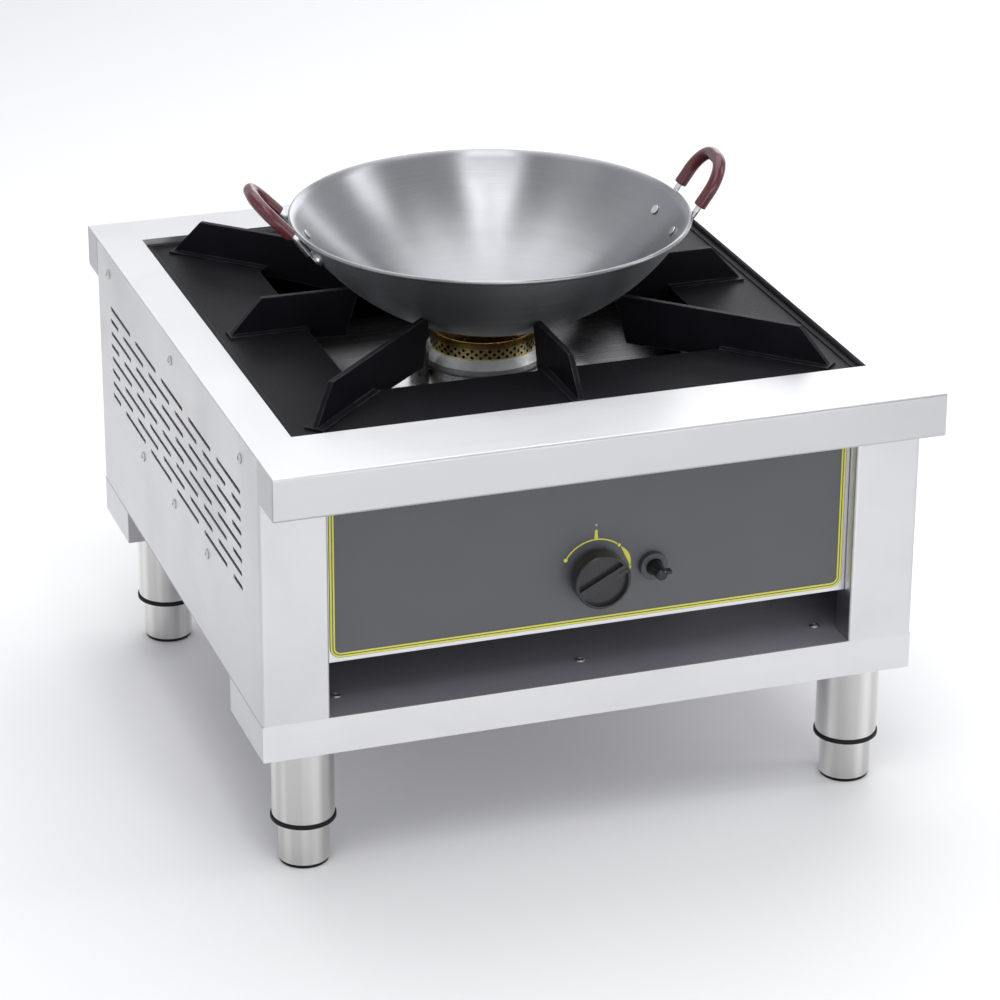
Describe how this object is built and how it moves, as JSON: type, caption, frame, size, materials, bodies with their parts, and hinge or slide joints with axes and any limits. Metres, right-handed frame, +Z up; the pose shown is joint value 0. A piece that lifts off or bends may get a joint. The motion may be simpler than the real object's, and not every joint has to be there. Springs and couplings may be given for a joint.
{
  "type": "gas wok range",
  "caption": "Low stainless steel gas wok range on adjustable legs, with a recessed control panel, black finned grate, brass burner and a loose wok with loop handles.",
  "frame": {"origin": "on the floor, under the centre of the worktop", "axes": "+Z up, the controls face -Y, +X to the right of someone standing at the controls"},
  "size_m": [0.5536, 0.6, 0.482],
  "materials": {
    "stainless": "brushed",
    "pan_steel": "satin",
    "floor_steel": "satin",
    "fascia_grey": "satin",
    "zinc_steel": "satin",
    "wok_steel": "brushed",
    "maroon_plastic": "gloss",
    "black_enamel": "satin enamel",
    "brass": "satin",
    "cast_aluminium": "cast",
    "copper": "satin",
    "black_plastic": "semi gloss",
    "black_rubber": "matte",
    "white_ceramic": "gloss"
  },
  "bodies": {
    "range": {"air_shutter": "pan_steel", "burner_body": "cast_aluminium", "burner_cap": "brass", "burner_crown": "brass", "burner_support": "pan_steel", "casing_screws": "zinc_steel", "control_panel": "stainless", "fascia": "fascia_grey", "floor_bolts": "zinc_steel", "floor_plate": "floor_steel", "front_cross_member": "stainless", "igniter_body": "black_plastic", "igniter_collar": "black_plastic", "injector": "brass", "injector_bracket": "pan_steel", "injector_holder": "brass", "inlet_fitting": "brass", "inlet_locknut": "brass", "left_side_panel": "stainless", "leg_collars": "black_plastic", "leg_tubes": "stainless", "main_pipe": "copper", "mixing_tube": "cast_aluminium", "pilot_bracket": "pan_steel", "pilot_burner": "pan_steel", "pilot_pipe": "copper", "rear_cross_member": "stainless", "rear_panel": "stainless", "right_side_panel": "stainless", "spark_electrode": "white_ceramic", "spill_pan_flange": "pan_steel", "spill_pan_floor": "pan_steel", "spill_pan_walls": "pan_steel", "supply_pipe": "copper", "tap_body": "brass", "thermocouple": "pan_steel", "well_frame": "stainless", "worktop": "stainless"},
    "tap_plug": {"tap_plug": "brass"},
    "knob": {"knob": "black_plastic", "tap_stem": "brass"},
    "igniter_button": {"igniter_button": "black_plastic"},
    "grate": {"grate_plate": "black_enamel", "grate_fins": "black_enamel"},
    "wok": {"wok_bowl": "wok_steel", "wok_handle_left": "wok_steel", "wok_handle_right": "wok_steel", "wok_grip_left": "maroon_plastic", "wok_grip_right": "maroon_plastic", "wok_rivets": "zinc_steel"},
    "foot_front_left": {"foot_front_left": "stainless", "foot_pad_front_left": "black_rubber"},
    "foot_front_right": {"foot_front_right": "stainless", "foot_pad_front_right": "black_rubber"},
    "foot_rear_left": {"foot_rear_left": "stainless", "foot_pad_rear_left": "black_rubber"},
    "foot_rear_right": {"foot_rear_right": "stainless", "foot_pad_rear_right": "black_rubber"}
  },
  "joints": [
    {"name": "tap_turn", "type": "hinge", "parent": "range", "child": "tap_plug", "pos_m": [0.0032, -0.2415, 0.2237], "axis": [0, -1, 0], "range_deg": [0, 120]},
    {"name": "knob_push", "type": "slide", "parent": "tap_plug", "child": "knob", "axis": [0, 1, 0], "range_m": [0, 0.003], "stiffness_N_per_m": 800, "springref_m": -0.004},
    {"name": "igniter_push", "type": "slide", "parent": "range", "child": "igniter_button", "axis": [0, 1, 0], "range_m": [0, 0.006], "stiffness_N_per_m": 600, "springref_m": -0.004},
    {"name": "grate_lift", "type": "slide", "parent": "range", "child": "grate", "axis": [0, 0, 1], "range_m": [0, 0.15]},
    {"name": "wok_lift", "type": "slide", "parent": "grate", "child": "wok", "axis": [0, 0, 1], "range_m": [0, 0.25]},
    {"name": "foot_front_left_adjust", "type": "slide", "parent": "range", "child": "foot_front_left", "axis": [0, 0, -1], "range_m": [0, 0.025]},
    {"name": "foot_front_right_adjust", "type": "slide", "parent": "range", "child": "foot_front_right", "axis": [0, 0, -1], "range_m": [0, 0.025]},
    {"name": "foot_rear_left_adjust", "type": "slide", "parent": "range", "child": "foot_rear_left", "axis": [0, 0, -1], "range_m": [0, 0.025]},
    {"name": "foot_rear_right_adjust", "type": "slide", "parent": "range", "child": "foot_rear_right", "axis": [0, 0, -1], "range_m": [0, 0.025]}
  ]
}
